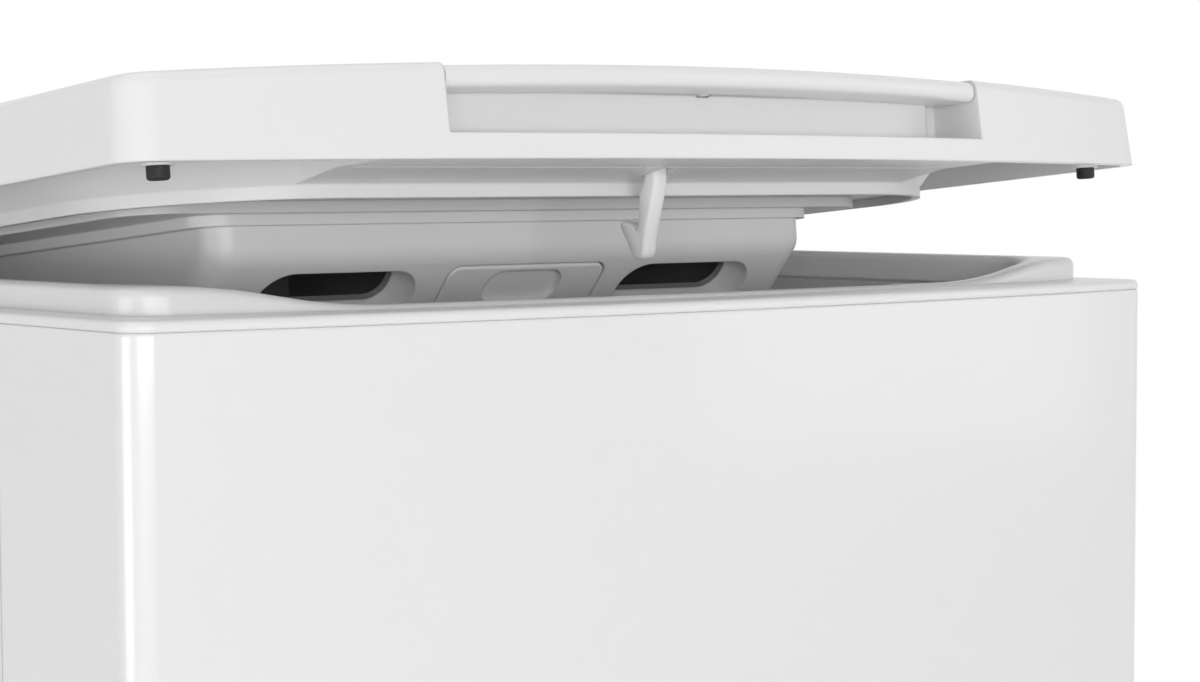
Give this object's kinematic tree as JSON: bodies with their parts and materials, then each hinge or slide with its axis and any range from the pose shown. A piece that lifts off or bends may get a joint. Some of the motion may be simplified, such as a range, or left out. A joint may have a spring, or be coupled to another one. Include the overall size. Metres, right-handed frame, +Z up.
{
  "type": "top-loading washing machine",
  "caption": "Slim white top-loading washing machine with a bowed front, a lid standing ajar, a dispenser under the lid, and a horizontal drum with two doors.",
  "frame": {"origin": "on the floor under the middle of the machine", "axes": "+X to the machine's right seen from the front, +Y to the back, +Z up"},
  "size_m": [0.4, 0.6, 0.9208],
  "materials": {
    "white_steel": "gloss enamel",
    "grey_steel": "zinc grey",
    "white_plastic": "gloss",
    "white_nylon": "satin",
    "grey_plastic": "satin",
    "dark_plastic": "satin",
    "black_rubber": "matt",
    "grey_rubber": "matt",
    "steel": "brushed",
    "aluminium": "cast",
    "cast_iron": "rough",
    "board_green": "satin",
    "smoked": "gloss"
  },
  "bodies": {
    "cabinet": {"base_pan": "grey_plastic", "levelling_feet": "black_rubber", "kick_plate": "white_plastic", "front_panel": "white_steel", "left_side_panel": "white_steel", "right_side_panel": "white_steel", "rear_panel": "grey_steel", "suspension_rails": "grey_steel", "top_frame": "white_plastic", "hinge_pins": "steel", "lid_lock": "grey_plastic", "drain_pump": "grey_plastic", "sump_hose": "black_rubber", "drain_hose": "grey_rubber", "inlet_valve": "white_nylon", "inlet_hose": "black_rubber", "cable_gland": "dark_plastic", "console_housing": "white_plastic", "control_fascia": "white_plastic", "display_window": "smoked", "control_board": "board_green", "damper_bodies": "grey_plastic", "suspension_springs": "steel", "mouth_gasket": "grey_rubber"},
    "lid": {"lid_shell": "white_plastic", "lid_liner": "white_nylon", "lid_bumpers": "black_rubber", "dispenser_housing": "white_nylon", "dispenser_cups": "dark_plastic"},
    "latch": {"handle_grip": "white_plastic", "latch_pin": "steel", "latch_hook": "white_nylon"},
    "release_tab": {"dispenser_release": "white_nylon"},
    "bolt": {"lock_bolt": "steel"},
    "tub": {"tub_wrapper": "grey_plastic", "tub_left_end": "grey_plastic", "tub_right_end": "grey_plastic", "drum_bearings": "steel", "shaft_seals": "black_rubber", "heater": "steel", "counterweights": "cast_iron", "motor_body": "grey_steel", "drive_belt": "black_rubber", "damper_rods": "grey_plastic"},
    "drum": {"drum_shell": "steel", "drum_left_end": "aluminium", "drum_right_end": "aluminium", "drum_paddles": "grey_plastic", "drum_door_pins": "steel", "drum_pulley": "aluminium"},
    "front_drum_door": {"drum_door_front": "steel"},
    "rear_drum_door": {"drum_door_rear": "steel"},
    "motor_rotor": {"motor_pulley": "steel"},
    "knob": {"programme_knob": "white_plastic"},
    "start_key": {"start_button": "grey_plastic"},
    "option_key_1": {"option_button_1": "white_nylon"},
    "option_key_2": {"option_button_2": "white_nylon"},
    "option_key_3": {"option_button_3": "white_nylon"},
    "filter_flap": {"filter_door": "white_plastic"},
    "filter_plug": {"filter_cap": "grey_plastic"}
  },
  "joints": [
    {"name": "lid_hinge", "type": "hinge", "parent": "cabinet", "child": "lid", "pos_m": [0, 0.13, 0.8679], "axis": [-1, 0, 0], "range_deg": [-4.97, 77.03]},
    {"name": "latch_pivot", "type": "hinge", "parent": "lid", "child": "latch", "pos_m": [0, -0.27582, 0.91534], "axis": [-1, 0, 0], "range_deg": [0, 8], "stiffness_Nm_per_rad": 0.4, "springref_deg": -8.59},
    {"name": "release_press", "type": "slide", "parent": "lid", "child": "release_tab", "axis": [0, 0.7657, 0.6432], "range_m": [0, 0.003], "stiffness_N_per_m": 400, "springref_m": -0.0008},
    {"name": "bolt_slide", "type": "slide", "parent": "cabinet", "child": "bolt", "axis": [-1, 0, 0], "range_m": [0, 0.009]},
    {"name": "tub_bounce", "type": "slide", "parent": "cabinet", "child": "tub", "axis": [0, 0, 1], "range_m": [-0.008, 0.008], "stiffness_N_per_m": 20000, "springref_m": 0.02222, "deforming": ["suspension_springs", "mouth_gasket", "sump_hose"]},
    {"name": "drum_spin", "type": "hinge", "parent": "tub", "child": "drum", "pos_m": [0, -0.02, 0.48], "axis": [1, 0, 0], "range_deg": [-360, 360]},
    {"name": "front_drum_door_hinge", "type": "hinge", "parent": "drum", "child": "front_drum_door", "pos_m": [0, -0.14402, 0.65145], "axis": [1, 0, 0], "range_deg": [0, 70]},
    {"name": "rear_drum_door_hinge", "type": "hinge", "parent": "drum", "child": "rear_drum_door", "pos_m": [0, 0.0379, 0.68352], "axis": [-1, 0, 0], "range_deg": [0, 80]},
    {"name": "motor_spin", "type": "hinge", "parent": "tub", "child": "motor_rotor", "pos_m": [0, 0.062, 0.184], "axis": [1, 0, 0], "range_deg": [-5700, 5700]},
    {"name": "knob_turn", "type": "hinge", "parent": "cabinet", "child": "knob", "pos_m": [-0.125, 0.218, 0.8912], "axis": [0, 0.1763, -0.9843], "continuous": true},
    {"name": "start_press", "type": "slide", "parent": "cabinet", "child": "start_key", "axis": [0, 0.1763, -0.9843], "range_m": [0, 0.0015], "stiffness_N_per_m": 600, "springref_m": -0.0004},
    {"name": "option_1_press", "type": "slide", "parent": "cabinet", "child": "option_key_1", "axis": [0, 0.1763, -0.9843], "range_m": [0, 0.0015], "stiffness_N_per_m": 600, "springref_m": -0.0004},
    {"name": "option_2_press", "type": "slide", "parent": "cabinet", "child": "option_key_2", "axis": [0, 0.1763, -0.9843], "range_m": [0, 0.0015], "stiffness_N_per_m": 600, "springref_m": -0.0004},
    {"name": "option_3_press", "type": "slide", "parent": "cabinet", "child": "option_key_3", "axis": [0, 0.1763, -0.9843], "range_m": [0, 0.0015], "stiffness_N_per_m": 600, "springref_m": -0.0004},
    {"name": "filter_flap_hinge", "type": "hinge", "parent": "cabinet", "child": "filter_flap", "pos_m": [0.105, -0.29462, 0.0365], "axis": [0.9969, 0.0785, 0], "range_deg": [0, 95]},
    {"name": "filter_plug_twist", "type": "hinge", "parent": "cabinet", "child": "filter_plug", "pos_m": [0.105, -0.27, 0.058], "axis": [0, 1, 0], "range_deg": [0, 180]}
  ],
  "couplings": [
    {"joint": "motor_spin", "follows": "drum_spin", "ratio": 15.556}
  ]
}
